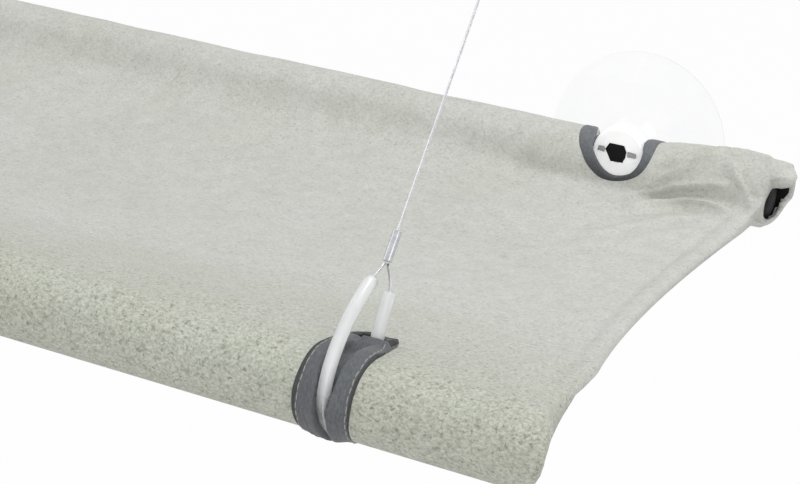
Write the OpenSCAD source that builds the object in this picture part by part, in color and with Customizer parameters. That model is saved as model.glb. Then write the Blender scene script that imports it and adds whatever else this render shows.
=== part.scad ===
// Window mounted cat perch: a felt hammock on two rails, hung from four suction cups.
// Millimetres, +Z up, +X along the rails, +Y towards the glass.
// Origin on the glass, midway between the axes of the two lower cups.

/* [Bed] */
// Distance between the axes of the rear and front rails
bed_depth = 275; // [220:5:340]
// Distance from the middle of the perch to each lower cup
cup_x = 210; // [190:5:260]
// How far the felt sleeves run past the lower cups
sleeve_out = 80; // [75:1:110]
// Thickness of the felt
felt_t = 2.7; // [2:0.1:3.2]
// How far the middle of the bed hangs below its two seams
bed_sag = 18; // [8:1:22]
// How far the side hems draw in between the rails
hem_draw = 13; // [4:1:24]

/* [Rails] */
// Outer diameter of the two rail tubes
rail_d = 22; // [21:0.5:24]
// Wall of the rail tubes
rail_wall = 1.2; // [1:0.1:1.4]
// How far the rail tubes run past the lower cups
rail_out = 66; // [58:1:72]
// Looseness between a rail and its felt sleeve
sleeve_gap = 0.3; // [0.2:0.05:0.5]

/* [Suction cups] */
// Diameter of a cup on the glass
cup_d = 80; // [70:1:95]
// Distance from the glass to the pin through the cup's head
pin_stand = 22; // [21.5:0.1:26]
// Diameter of the cup's head
head_d = 23.2; // [21:0.2:24]
// Thickness of the cup's head
head_t = 9; // [8:0.2:10]
// Diameter of the neck behind the head
neck_d = 14; // [10:0.5:15]
// Diameter of the hole down the middle of the head
socket_d = 7.8; // [6:0.1:9]
// Depth of the hollow on the glass side
hollow_h = 3.4; // [2:0.1:4]

/* [Hinge] */
// Diameter of the steel hinge pin
pin_d = 4; // [3:0.1:4]
// Height of the hinge pin above the axis of the rear rail
pin_rise = 6.5; // [5.5:0.1:6.6]
// Running clearance round the pin in the cup's head, on the radius
pin_play = 0.08; // [0.04:0.01:0.1]
// Length of each plastic block that holds the pin inside the rail
block_len = 14; // [10:0.5:20]

/* [Cables] */
// How far each cable lies outboard of the lower cup
cable_out = 9.5; // [6:0.5:14]
// Height of the upper cups above the lower cups
upper_rise = 380; // [340:5:420]
// Diameter of the steel cable
cable_d = 1; // [0.8:0.1:1.4]
// Length of a crimp ferrule
ferrule_len = 11; // [8:0.5:14]
// Outer diameter of the silicone tube round the loop
tube_d = 4.6; // [4.2:0.1:4.8]
// Bore of the silicone tube
tube_bore = 2; // [1.6:0.1:2.6]

/* [Spreaders] */
// Distance from the middle of the perch to each spreader
spreader_x = 150; // [120:5:160]
// Outer diameter of the spreader tubes
spreader_d = 12; // [10:0.5:14]
// Wall of the spreader tubes
spreader_wall = 1.2; // [1:0.1:1.6]
// How far the spreaders run below the rail axes
spreader_drop = 38; // [36:1:60]
// Bend radius of the spreaders, on their centre line
spreader_bend = 16; // [15:1:18]
// How far the arms of the front saddles lean back towards the glass, in degrees from straight down
front_lean = 60; // [56:1:62]

/* [Hidden] */

// Colours
FELT = [0.76, 0.76, 0.72];
TAPE = [0.35, 0.37, 0.38];
BLACK = [0.08, 0.08, 0.09];
STEEL = [0.72, 0.73, 0.75];
CLEAR = [0.92, 0.95, 0.96, 0.4];
MILKY = [0.88, 0.9, 0.9, 0.6];

// Overrun of every cut and the smallest seat between neighbours
cut = 1;
fit_gap = 0.05;
seat_gap = 0.3;

// Rails
rail_r = rail_d / 2;
bore_r = rail_r - rail_wall;
rail_half = cup_x + rail_out;
sleeve_half = cup_x + sleeve_out;
cap_shank = 12;
cap_nose = 4;

// Sleeves
sleeve_ri = rail_r + sleeve_gap;
sleeve_ro = sleeve_ri + felt_t;
seam_y = 28;
seam_z = 8;
seam_tip_r = felt_t / 2;
sleeve_end_slant = 14;
end_round = 6;

// Suction cup
cup_r = cup_d / 2;
head_r = head_d / 2;
neck_r = neck_d / 2;
head_edge = 0.8;
rim_t = 1.4;
rim_seat = 3;
hub_r = 12;
hub_h = 7;
dome_power = 1.15;
fillet_shares = [[0.4, 0.4], [0.12, 0.75]];
fillet_h = 4.6;
tab_w = 4.6;
tab_len = 5;
tab_h = 0.9;
pin_r = pin_d / 2;
head_front = pin_stand + head_t / 2;
socket_deep = 6.6;
plug_sunk = 0.6;

// Hinge notch in the rear rail
notch_half = head_r + 1;
notch_floor = -7;
boss_r = bore_r - pin_rise - 3 * fit_gap;
boss_root = 0.5;
boss_reach = notch_half - head_r - seat_gap;

// Mouth of the felt round each cup: half width at the top, floor in front and behind
mouth_half = 14.2;
mouth_front = 0;
mouth_rear = -7.4;
mouth_corner = 5;
tape_w = 5.2;
tape_low = 3.2;
tape_gap = 0.05;
tape_t = 0.95;

// Slot of the felt round each loop
slot_half = 4.4;
slot_tape = 5.8;
slot_back = 19.5;
slot_tie = 3;
slot_under = 7;

// Spreader saddles
saddle_gap = 0.1;
saddle_wall = 2.5;
saddle_half = 18;
saddle_window = 20;
saddle_side = 12;
socket_wall = 2.1;
socket_top = 13.2;
socket_low = 22;
pad_r = 4;
pad_low = 15;
screw_r = 1.5;
screw_head_r = 3;
screw_head_h = 1.8;
screw_x = 13.8;
screw_reach = 3;
cross_screw_z = -18.5;
arm_r = 6.5;
knee_swell = 0.5;
knee_stop = 3;
knee_socket = 18;
knee_cross = 11;

// Bed sheet
bed_rear_y = -13;
bed_rear_z = -6;
bed_front_gap = 0.3;
bed_rear_corner = 66;
bed_edge_sag_share = 0.5;
hem_t = 1.4;
fold_h = 1.6;
fold_reach = 60;
fold_waves = 9;
bed_nx = 32;
bed_ny = 17;

// Cable line in its own vertical plane: the foot of the lower ferrule, from the front rail axis
foot_y = 22.5;
foot_z = 37.8;
upper_loop_len = 41;
ferrule_r = cable_d / 2 + 0.6;
wire_r = cable_d / 2;

// Route of the loop round the front rail, from the front end of its tube to the rear end: [x, y, z]
TUBE_ROUTE = [
    [-0.8, 14.2, 34.4], [-0.8, 6, 30.2], [-0.8, -2, 24.4], [-0.8, -7.5, 18.6], [-0.8, -11.5, 12.3],
    [-0.7, -13.7, 6], [-0.6, -13.9, 0], [-0.4, -12.5, -5.6], [-0.2, -9.3, -10.2], [0, -4.7, -12.9],
    [0.2, 0.5, -13.7], [0.5, 5.6, -12.5], [0.8, 10, -9.4], [1.1, 12.9, -4.8], [1.3, 14.2, 1],
    [1.5, 15.4, 8], [1.7, 17.4, 16], [1.8, 20.4, 23], [1.8, 22.8, 27.6]
];
// The bare wire from the ferrule to the front end of the tube, and from its rear end back
WIRE_LEAD = [[-0.4, 22.2, 37.6], [-0.5, 19.4, 36.6]];
WIRE_TAIL = [[1.2, 23.6, 32], [0.4, 22.7, 37.2]];
// Half of the loop through an upper cup's head: [x, distance along the cable]
LOOP_HALF = [[0.5, 40.6], [2.5, 36], [6, 27], [9.6, 18], [12.4, 10], [13.6, 5], [13.3, 2.2]];

// Directions and lengths
left = -1;
right = 1;
front_y = -pin_stand - bed_depth;
rail_z = -pin_rise;
cable_x = cup_x + cable_out;
line_dy = bed_depth - foot_y;
line_dz = upper_rise + pin_rise - foot_z;
line_len = norm([line_dy, line_dz]);
line_lean = atan2(line_dy, line_dz);
cable_len = line_len - upper_loop_len - 2 * ferrule_len;
front_seam_y = seam_y + bed_front_gap;
bed_len = bed_depth + bed_rear_y - front_seam_y;

// Knee of a front saddle: its arm's length, and its distance behind the front rail
arm_len = spreader_drop / sin(90 - front_lean);
knee_y = spreader_drop / tan(90 - front_lean);
socket_r = spreader_d / 2 + socket_wall;

// The saddles end below the bed's underside, so that no edge of theirs shows from above
saddle_top = bed_rear_z - felt_t - 2 * seat_gap;
window_top = saddle_top + seat_gap;

// Frames
module at_rear() { translate([0, -pin_stand, rail_z]) children(); }
module at_front() { translate([0, front_y, rail_z]) children(); }
module along_x(len, r, n = 48) { rotate([0, 90, 0]) cylinder(h = len, r = r, center = true, $fn = n); }
module side_plate(half) { rotate([90, 0, 90]) linear_extrude(height = 2 * half, center = true) children(); }
module at_line(side) {
    translate([side * cable_x, front_y + foot_y, rail_z + foot_z]) rotate([-line_lean, 0, 0]) children();
}

// Suction cup, revolved about its axis with the glass at z = 0
dome_steps = 7;
dome_points = [
    for (i = [0:dome_steps])
        let (u = 1 - i / dome_steps)
        [hub_r + (cup_r - hub_r) * u, rim_t + (hub_h - rim_t) * pow(1 - u, dome_power)]
];
hollow_points = [
    for (i = [0:dome_steps])
        let (u = i / dome_steps)
        [(cup_r - rim_seat) * u, hollow_h * (1 - u * u)]
];
fillet_points = [
    for (s = fillet_shares) [neck_r + (hub_r - neck_r) * s[0], hub_h + fillet_h * s[1]]
];
head_points = [
    [neck_r, hub_h + fillet_h],
    [neck_r, head_front - head_t - head_edge],
    [neck_r + head_edge, head_front - head_t],
    [head_r - head_edge, head_front - head_t],
    [head_r, head_front - head_t + head_edge],
    [head_r, head_front - head_edge],
    [head_r - head_edge, head_front],
    [0, head_front]
];
cup_outline = concat(hollow_points, [[cup_r, 0]], dome_points, fillet_points, head_points);

module suction_cup() {
    color(CLEAR) rotate([90, 0, 0]) difference() {
        union() {
            rotate_extrude($fn = 64) polygon(cup_outline);
            translate([-tab_w / 2, cup_r - rim_seat - tab_len, rim_t])
                cube([tab_w, tab_len, rim_t + tab_h]);
        }
        translate([0, 0, head_front - socket_deep]) cylinder(h = socket_deep + cut, d = socket_d, $fn = 48);
        translate([0, 0, pin_stand]) along_x(head_d + 2 * cut, pin_r + pin_play);
    }
}

module head_plug() {
    shank = head_t / 2 - pin_r - seat_gap - plug_sunk;
    color(BLACK) rotate([90, 0, 0]) translate([0, 0, head_front - plug_sunk - shank])
        difference() {
            cylinder(h = shank, d = socket_d - 2 * fit_gap, $fn = 48);
            translate([0, 0, shank / 2]) cylinder(h = shank / 2 + cut, r = socket_d / 4, $fn = 6);
        }
}

// Rails with their hinge notches and screw holes
module rail(notched, lean) {
    difference() {
        along_x(2 * rail_half, rail_r, 64);
        along_x(2 * rail_half + 2 * cut, bore_r, 64);
        if (notched)
            for (side = [left, right])
                translate([side * cup_x - notch_half, -rail_r - cut, notch_floor])
                    cube([2 * notch_half, rail_d + 2 * cut, rail_d]);
        for (side = [left, right], end = [left, right])
            rotate([lean, 0, 0]) translate([side * spreader_x + end * screw_x, 0, -rail_d])
                cylinder(h = rail_d, r = screw_r + saddle_gap, $fn = 24);
    }
}

// Blocks pressed into the rail on both sides of a notch, with the pin's bore and thrust bosses
module pin_blocks() {
    color(BLACK) for (end = [left, right]) difference() {
        union() {
            translate([end * (notch_half + block_len / 2), 0, 0]) along_x(block_len, bore_r - fit_gap, 64);
            translate([end * (notch_half + (boss_root - boss_reach) / 2), 0, pin_rise])
                along_x(boss_root + boss_reach, boss_r);
        }
        translate([0, 0, pin_rise]) along_x(2 * (notch_half + block_len + cut), pin_r + fit_gap);
    }
}

module cup_pin() {
    color(STEEL) along_x(2 * (notch_half + block_len - cut), pin_r);
}

// Cap pushed into a rail's open end, with a domed nose
module end_cap() {
    nose = [for (i = [0:5]) [rail_r * cos(18 * i), cap_nose * sin(18 * i)]];
    color(BLACK) rotate([0, 90, 0]) difference() {
        rotate_extrude($fn = 48) polygon(concat(
            [[0, -cap_shank], [bore_r - fit_gap, -cap_shank], [bore_r - fit_gap, fit_gap], [rail_r, fit_gap]], nose
        ));
        translate([0, 0, -cap_shank - cut]) cylinder(h = cap_shank - cut, r = bore_r - rail_wall * 2, $fn = 48);
    }
}

// Spreader: a bent tube that drops from the rear saddle and runs under the bed to the front saddle's knee
module tube_section() {
    difference() {
        circle(r = spreader_d / 2, $fn = 48);
        circle(r = spreader_d / 2 - spreader_wall, $fn = 48);
    }
}

module spreader() {
    leg = spreader_drop - spreader_bend - socket_top - saddle_gap;
    run = bed_depth - knee_y - knee_stop - seat_gap - spreader_bend;
    color(BLACK) difference() {
        union() {
            translate([0, 0, -spreader_drop + spreader_bend]) linear_extrude(height = leg) tube_section();
            translate([0, -spreader_bend, -spreader_drop + spreader_bend]) rotate([0, 90, 0])
                rotate_extrude(angle = 90, $fn = 96) translate([spreader_bend, 0]) tube_section();
            translate([0, -spreader_bend, -spreader_drop]) rotate([90, 0, 0]) linear_extrude(height = run) tube_section();
        }
        translate([0, 0, cross_screw_z]) along_x(spreader_d + 2 * cut, screw_r + saddle_gap, 24);
        translate([0, knee_y + knee_cross - bed_depth, -spreader_drop])
            along_x(spreader_d + 2 * cut, screw_r + saddle_gap, 24);
    }
}

// Seat of a saddle under a rail, with its two screw pads, and what is cut from it
module saddle_seat() {
    intersection() {
        along_x(2 * saddle_half, rail_r + saddle_gap + saddle_wall, 64);
        translate([0, 0, saddle_top - rail_d]) cube([2 * rail_d, 2 * rail_d, 2 * rail_d], center = true);
    }
    for (end = [left, right])
        translate([end * screw_x, 0, -pad_low]) cylinder(h = pad_low - rail_r, r = pad_r, $fn = 32);
}
module saddle_cuts() {
    along_x(2 * saddle_half + 2 * cut, rail_r + saddle_gap, 64);
    for (end = [left, right])
        translate([end * screw_x, 0, -rail_d]) cylinder(h = rail_d, r = screw_r + saddle_gap, $fn = 24);
}

// Rear saddle, with a socket straight down for the spreader's leg
module rear_saddle() {
    color(BLACK) difference() {
        union() {
            saddle_seat();
            translate([0, 0, -socket_low]) cylinder(h = socket_low - rail_r, r = socket_r, $fn = 48);
        }
        saddle_cuts();
        translate([0, 0, -socket_low - cut])
            cylinder(h = socket_low - socket_top + cut, r = spreader_d / 2 + saddle_gap, $fn = 48);
        translate([0, 0, cross_screw_z]) along_x(2 * socket_r + 2 * cut, screw_r + saddle_gap, 24);
    }
}

// Front saddle, moulded with a leaning arm, a knee and a level socket for the spreader's run
module front_saddle() {
    color(BLACK) difference() {
        union() {
            rotate([front_lean, 0, 0]) {
                saddle_seat();
                translate([0, 0, -arm_len]) cylinder(h = arm_len - rail_r, r = arm_r, $fn = 48);
            }
            translate([0, knee_y, -spreader_drop]) {
                sphere(r = socket_r + knee_swell, $fn = 48);
                rotate([-90, 0, 0]) cylinder(h = knee_socket, r = socket_r, $fn = 48);
            }
        }
        rotate([front_lean, 0, 0]) saddle_cuts();
        translate([0, knee_y, -spreader_drop]) {
            translate([0, knee_stop, 0]) rotate([-90, 0, 0])
                cylinder(h = knee_socket, r = spreader_d / 2 + saddle_gap, $fn = 48);
            translate([0, knee_cross, 0]) along_x(2 * socket_r + 2 * cut, screw_r + saddle_gap, 24);
        }
    }
}

module saddle_screw() {
    translate([0, 0, -pad_low]) cylinder(h = pad_low - bore_r + screw_reach, r = screw_r, $fn = 24);
    translate([0, 0, -pad_low - screw_head_h]) cylinder(h = screw_head_h - fit_gap, r = screw_head_r, $fn = 32);
    translate([0, 0, -pad_low - fit_gap]) cylinder(h = 2 * fit_gap, r = screw_r, $fn = 24);
}

module socket_screw() {
    translate([-socket_r - screw_reach / 2, 0, 0]) rotate([0, 90, 0])
        cylinder(h = 2 * socket_r + screw_reach / 2 + fit_gap, r = screw_r, $fn = 24);
    translate([socket_r + fit_gap, 0, 0]) rotate([0, 90, 0]) cylinder(h = screw_head_h, r = screw_head_r, $fn = 32);
}

// Mouth of the rear sleeve round a cup, drawn in x and z, in front of and behind the rail
mouth_steps = 8;
module mouth_front_shape(half, floor) {
    polygon(concat(
        [for (i = [-mouth_steps:mouth_steps])
            let (s = i / mouth_steps) [half * s, floor + (sleeve_ro + tape_t + cut - floor) * s * s]],
        [[half, rail_d], [-half, rail_d]]
    ));
}
module mouth_rear_shape(half, floor) {
    polygon([
        [-half, rail_d], [-half, floor + mouth_corner], [-half + mouth_corner, floor],
        [half - mouth_corner, floor], [half, floor + mouth_corner], [half, rail_d]
    ]);
}
module mouth(half, front, rear) {
    rotate([90, 0, 0]) {
        linear_extrude(height = rail_d) mouth_front_shape(half, front);
        translate([0, 0, -rail_d]) linear_extrude(height = rail_d + fit_gap) mouth_rear_shape(half, rear);
    }
}

// Window in a sleeve's underside that lets a saddle through
module saddle_opening() {
    translate([-saddle_window, -saddle_side, -rail_d - cut])
        cube([2 * saddle_window, 2 * saddle_side, rail_d + cut + window_top]);
}

module rear_sleeve() {
    color(FELT) difference() {
        along_x(2 * sleeve_half, sleeve_ro, 64);
        along_x(2 * sleeve_half + 2 * cut, sleeve_ri, 64);
        for (side = [left, right]) {
            translate([side * cup_x, 0, 0]) mouth(mouth_half, mouth_front, mouth_rear);
            translate([side * spreader_x, 0, 0]) saddle_opening();
            // Slanted open end
            translate([side * sleeve_half, 0, sleeve_ro])
                rotate([0, side * atan2(sleeve_end_slant, 2 * sleeve_ro), 0])
                    translate([side > 0 ? 0 : -4 * rail_d, -rail_d, -4 * rail_d])
                        cube([4 * rail_d, 2 * rail_d, 4 * rail_d + cut]);
        }
    }
}

module rear_binding() {
    color(TAPE) intersection() {
        difference() {
            along_x(4 * mouth_half, sleeve_ro + tape_gap + tape_t, 64);
            along_x(4 * mouth_half + 2 * cut, sleeve_ro + tape_gap, 64);
        }
        difference() {
            mouth(mouth_half + tape_w, mouth_front - tape_low, mouth_rear - tape_low);
            mouth(mouth_half, mouth_front, mouth_rear);
        }
    }
}

// Teardrop section of the front sleeve, drawn in y and z, with its seam behind the rail
module teardrop(grow) {
    hull() {
        circle(r = sleeve_ro + grow, $fn = 48);
        translate([seam_y - seam_tip_r, seam_z]) circle(r = seam_tip_r + grow, $fn = 12);
    }
}
module teardrop_hollow() {
    hull() {
        circle(r = sleeve_ri, $fn = 48);
        translate([seam_y - felt_t * 1.5, seam_z]) circle(r = felt_t / 8, $fn = 8);
    }
}

module front_sleeve() {
    color(FELT) difference() {
        hull() {
            side_plate(sleeve_half - end_round) teardrop(0);
            side_plate(sleeve_half - end_round / 3) teardrop(-end_round / 6);
            side_plate(sleeve_half) teardrop(-seam_tip_r + fit_gap);
        }
        side_plate(sleeve_half - end_round) teardrop_hollow();
        for (side = [left, right]) {
            translate([side * cable_x - slot_half, -rail_d, -rail_d]) cube([2 * slot_half, rail_d + slot_back, 2 * rail_d]);
            translate([side * spreader_x, 0, 0]) rotate([front_lean, 0, 0]) saddle_opening();
        }
    }
}

module front_binding() {
    color(TAPE) intersection() {
        difference() {
            side_plate(slot_half + slot_tape) teardrop(tape_gap + tape_t);
            side_plate(slot_half + slot_tape + cut) teardrop(tape_gap);
            translate([-slot_half, -rail_d, -rail_d]) cube([2 * slot_half, rail_d + slot_back, 2 * rail_d]);
        }
        union() {
            translate([-rail_d, -rail_d, seam_z / 2]) cube([2 * rail_d, rail_d + slot_back + slot_tie, rail_d]);
            translate([-rail_d, -rail_d, -rail_d]) cube([2 * rail_d, rail_d + slot_under, rail_d + seam_z]);
        }
    }
}

// Bed sheet: x from -1 to 1 across, t from 0 at the rear seam to 1 at the front seam
function bed_edge(t) =
    cup_x + bed_rear_corner + (sleeve_out - bed_rear_corner) * t - hem_draw * 4 * t * (1 - t);
function bed_y(t) = bed_rear_y - bed_len * t;
function bed_fold(x, t) =
    let (dx = bed_edge(0) - abs(x), dy = bed_len * t, reach = norm([dx, dy]))
    fold_h * exp(-reach / fold_reach) * sin(fold_waves * atan2(dy, dx + fold_reach / 4)) * min(1, 12 * t) * (1 - t);
function bed_top(u, t) =
    bed_rear_z + (seam_z + seam_tip_r - bed_rear_z) * t
    - bed_sag * 4 * t * (1 - t) * (1 - bed_edge_sag_share * u * u) + bed_fold(u * bed_edge(t), t);
function bed_under(u, t) = bed_top(u, t) - felt_t - (abs(u) == 1 ? hem_t : 0);

module felt_bed() {
    cols = bed_nx + 1;
    rows = bed_ny + 1;
    top = [for (j = [0:bed_ny], i = [0:bed_nx])
        let (u = 2 * i / bed_nx - 1, t = j / bed_ny) [u * bed_edge(t), bed_y(t), bed_top(u, t)]];
    under = [for (j = [0:bed_ny], i = [0:bed_nx])
        let (u = 2 * i / bed_nx - 1, t = j / bed_ny) [u * bed_edge(t), bed_y(t), bed_under(u, t)]];
    n = cols * rows;
    faces = concat(
        [for (j = [0:bed_ny - 1], i = [0:bed_nx - 1], k = [0, 1])
            let (a = j * cols + i) k == 0 ? [a, a + cols, a + 1] : [a + 1, a + cols, a + cols + 1]],
        [for (j = [0:bed_ny - 1], i = [0:bed_nx - 1], k = [0, 1])
            let (a = n + j * cols + i) k == 0 ? [a, a + 1, a + cols] : [a + 1, a + cols + 1, a + cols]],
        [for (i = [0:bed_nx - 1], k = [0, 1]) k == 0 ? [i, i + 1, n + i] : [i + 1, n + i + 1, n + i]],
        [for (i = [0:bed_nx - 1], k = [0, 1])
            let (a = bed_ny * cols + i) k == 0 ? [a, n + a, a + 1] : [a + 1, n + a, n + a + 1]],
        [for (j = [0:bed_ny - 1], k = [0, 1])
            let (a = j * cols) k == 0 ? [a, n + a, a + cols] : [a + cols, n + a, n + a + cols]],
        [for (j = [0:bed_ny - 1], k = [0, 1])
            let (a = j * cols + bed_nx) k == 0 ? [a, a + cols, n + a] : [a + cols, n + a + cols, n + a]]
    );
    color(FELT) polyhedron(points = concat(top, under), faces = faces);
}

// Sweep of a round section along a smooth curve through a route's points
function curve_at(p, i, s) =
    let (last = len(p) - 1, a = p[max(i - 1, 0)], b = p[i], c = p[i + 1], d = p[min(i + 2, last)])
    0.5 * (2 * b + (c - a) * s + (2 * a - 5 * b + 4 * c - d) * s * s + (3 * b - a - 3 * c + d) * s * s * s);
function smooth_route(p, n) =
    concat([for (i = [0:len(p) - 2], k = [0:n - 1]) curve_at(p, i, k / n)], [p[len(p) - 1]]);
function unit(v) = v / norm(v);
function route_dir(p, i) = unit(p[min(i + 1, len(p) - 1)] - p[max(i - 1, 0)]);
function ring_at(p, i, r, n, across) =
    let (d = route_dir(p, i), v = unit(cross(d, across)), w = cross(v, d))
    [for (k = [0:n - 1]) p[i] + r * (cos(360 * k / n) * v + sin(360 * k / n) * w)];

module sweep(route, r, n, across) {
    last = len(route) - 1;
    points = [for (i = [0:last]) each ring_at(route, i, r, n, across)];
    sides = [for (i = [0:last - 1], k = [0:n - 1], h = [0, 1])
        let (a = i * n + k, b = i * n + (k + 1) % n) h == 0 ? [a, b, a + n] : [b, b + n, a + n]];
    caps = [[for (k = [0:n - 1]) n - 1 - k], [for (k = [0:n - 1]) last * n + k]];
    polyhedron(points = points, faces = concat(sides, caps));
}

module loop_tube() {
    route = smooth_route(TUBE_ROUTE, 2);
    color(MILKY) difference() {
        sweep(route, tube_d / 2, 8, [1, 0, 0]);
        sweep(smooth_route(concat([2 * TUBE_ROUTE[0] - TUBE_ROUTE[1]], TUBE_ROUTE,
            [2 * TUBE_ROUTE[len(TUBE_ROUTE) - 1] - TUBE_ROUTE[len(TUBE_ROUTE) - 2]]), 2), tube_bore / 2, 8, [1, 0, 0]);
    }
}

module lower_loop() {
    color(STEEL) sweep(smooth_route(concat(WIRE_LEAD, TUBE_ROUTE, WIRE_TAIL), 2), wire_r, 6, [1, 0, 0]);
}

module ferrule() {
    color(STEEL) linear_extrude(height = ferrule_len - 2 * seat_gap) {
        for (end = [left, right]) translate([end * wire_r, 0]) circle(r = ferrule_r, $fn = 24);
        square([cable_d, 2 * ferrule_r], center = true);
    }
}

module cable() {
    color(STEEL) cylinder(h = cable_len, r = wire_r, $fn = 16);
}

// The loop through the head of an upper cup, in the plane of the pin hole and the cable
module upper_loop() {
    sag_in = pin_r + pin_play - wire_r - fit_gap;
    inside = [head_r * 1.02, sag_in];
    half = concat(LOOP_HALF, [inside]);
    n = len(half);
    route = concat(
        [for (p = half) [-p[0], 0, line_len - p[1]]],
        [for (i = [0:n - 1]) let (p = half[n - 1 - i]) [p[0], 0, line_len - p[1]]]
    );
    color(STEEL) sweep(smooth_route(route, 2), wire_r, 6, [0, 1, 0]);
}

translate([left * cup_x, 0, 0]) suction_cup();  // lower_cup_left
translate([right * cup_x, 0, 0]) suction_cup();  // lower_cup_right
translate([left * cable_x, 0, upper_rise]) suction_cup();  // upper_cup_left
translate([right * cable_x, 0, upper_rise]) suction_cup();  // upper_cup_right
translate([left * cup_x, 0, 0]) head_plug();  // head_plug_left
translate([right * cup_x, 0, 0]) head_plug();  // head_plug_right
at_line(left) upper_loop();  // upper_loop_left
at_line(right) upper_loop();  // upper_loop_right
at_line(left) translate([0, 0, ferrule_len + cable_len + seat_gap]) ferrule();  // upper_ferrule_left
at_line(right) translate([0, 0, ferrule_len + cable_len + seat_gap]) ferrule();  // upper_ferrule_right
at_line(left) translate([0, 0, ferrule_len]) cable();  // cable_left
at_line(right) translate([0, 0, ferrule_len]) cable();  // cable_right
at_rear() color(BLACK) rail(true, 0);  // rear_rail
at_front() color(BLACK) rail(false, front_lean);  // front_rail
at_rear() translate([left * cup_x, 0, 0]) pin_blocks();  // pin_blocks_left
at_rear() translate([right * cup_x, 0, 0]) pin_blocks();  // pin_blocks_right
translate([left * cup_x, -pin_stand, 0]) cup_pin();  // cup_pin_left
translate([right * cup_x, -pin_stand, 0]) cup_pin();  // cup_pin_right
at_rear() mirror([1, 0, 0]) translate([rail_half, 0, 0]) end_cap();  // rear_end_cap_left
at_rear() translate([rail_half, 0, 0]) end_cap();  // rear_end_cap_right
at_front() mirror([1, 0, 0]) translate([rail_half, 0, 0]) end_cap();  // front_end_cap_left
at_front() translate([rail_half, 0, 0]) end_cap();  // front_end_cap_right
at_rear() translate([left * spreader_x, 0, 0]) spreader();  // spreader_left
at_rear() translate([right * spreader_x, 0, 0]) spreader();  // spreader_right
at_rear() translate([left * spreader_x, 0, 0]) rear_saddle();  // rear_saddle_left
at_rear() translate([right * spreader_x, 0, 0]) rear_saddle();  // rear_saddle_right
at_front() translate([left * spreader_x, 0, 0]) front_saddle();  // front_saddle_left
at_front() translate([right * spreader_x, 0, 0]) front_saddle();  // front_saddle_right
color(STEEL) at_rear()  // saddle_screws
        for (side = [left, right], end = [left, right], place = [[0, 0], [-bed_depth, front_lean]])
        translate([side * spreader_x + end * screw_x, place[0], 0]) rotate([place[1], 0, 0]) saddle_screw();
color(STEEL) at_rear()  // socket_screws
        for (side = [left, right], place = [[0, cross_screw_z], [knee_y + knee_cross - bed_depth, -spreader_drop]])
        translate([side * spreader_x, place[0], place[1]]) mirror([side < 0 ? 1 : 0, 0, 0]) socket_screw();
at_rear() felt_bed();
at_rear() rear_sleeve();
at_front() front_sleeve();
at_rear() translate([left * cup_x, 0, 0]) rear_binding();  // rear_binding_left
at_rear() translate([right * cup_x, 0, 0]) rear_binding();  // rear_binding_right
at_front() translate([left * cable_x, 0, 0]) front_binding();  // front_binding_left
at_front() translate([right * cable_x, 0, 0]) front_binding();  // front_binding_right
at_front() translate([left * cable_x, 0, 0]) loop_tube();  // loop_tube_left
at_front() translate([right * cable_x, 0, 0]) loop_tube();  // loop_tube_right
at_front() translate([left * cable_x, 0, 0]) lower_loop();  // lower_loop_left
at_front() translate([right * cable_x, 0, 0]) lower_loop();  // lower_loop_right
at_line(left) translate([0, 0, seat_gap]) ferrule();  // lower_ferrule_left
at_line(right) translate([0, 0, seat_gap]) ferrule();  // lower_ferrule_right
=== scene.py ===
import math

import bmesh
import bpy
import numpy as np
from mathutils import Matrix, Vector


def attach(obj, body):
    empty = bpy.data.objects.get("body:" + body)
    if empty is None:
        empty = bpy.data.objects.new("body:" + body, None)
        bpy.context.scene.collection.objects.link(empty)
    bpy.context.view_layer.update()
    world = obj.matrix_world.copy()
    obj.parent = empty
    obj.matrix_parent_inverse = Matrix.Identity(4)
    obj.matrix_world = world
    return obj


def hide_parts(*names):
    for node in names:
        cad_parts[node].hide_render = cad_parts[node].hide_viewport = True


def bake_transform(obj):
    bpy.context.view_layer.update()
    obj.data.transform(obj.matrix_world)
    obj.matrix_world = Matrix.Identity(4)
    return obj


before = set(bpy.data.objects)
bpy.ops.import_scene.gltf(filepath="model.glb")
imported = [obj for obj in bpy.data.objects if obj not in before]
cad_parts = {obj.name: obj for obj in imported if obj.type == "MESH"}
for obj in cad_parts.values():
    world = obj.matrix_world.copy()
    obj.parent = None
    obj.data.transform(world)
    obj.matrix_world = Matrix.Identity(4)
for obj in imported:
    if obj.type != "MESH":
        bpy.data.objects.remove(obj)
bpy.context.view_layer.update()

# Sizes shared with the CAD source. Shapes are worked in millimetres and written in metres
MM = 0.001
CUP_X, RAIL_OUT, CABLE_X, SPREADER_X = 210.0, 66.0, 219.5, 150.0
PIN_Y, RAIL_Z, DEPTH, RISE = -22.0, -6.5, 275.0, 380.0
FRONT_Y = PIN_Y - DEPTH
RAIL_R, BORE_R, ROLL_R, FELT = 11.0, 11.3, 14.0, 2.7
HALF = 290.0
SIDES = ((-1, "left"), (1, "right"))

# Points of a ring round a rail's axis, and the step of the felt's mesh against the full one
RING = 64
GRAIN = 1.0


# Meshes
def mesh(name, co, faces, smooth=True):
    me = bpy.data.meshes.new(name)
    points = [tuple(p) for p in np.asarray(co, float) * MM]
    me.from_pydata(points, [], [tuple(int(i) for i in f) for f in faces])
    me.validate()
    me.update()
    o = bpy.data.objects.new(name, me)
    bpy.context.scene.collection.objects.link(o)
    if smooth:
        make_smooth(o)
    return o


def make_smooth(o):
    o.data.polygons.foreach_set("use_smooth", [True] * len(o.data.polygons))


def face_outward(o, weld=0.0):
    # Turn the faces outward, after points nearer than weld are made one
    bm = bmesh.new()
    bm.from_mesh(o.data)
    if weld:
        bmesh.ops.remove_doubles(bm, verts=bm.verts, dist=weld)
    bmesh.ops.recalc_face_normals(bm, faces=bm.faces)
    bm.to_mesh(o.data)
    bm.free()


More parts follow.
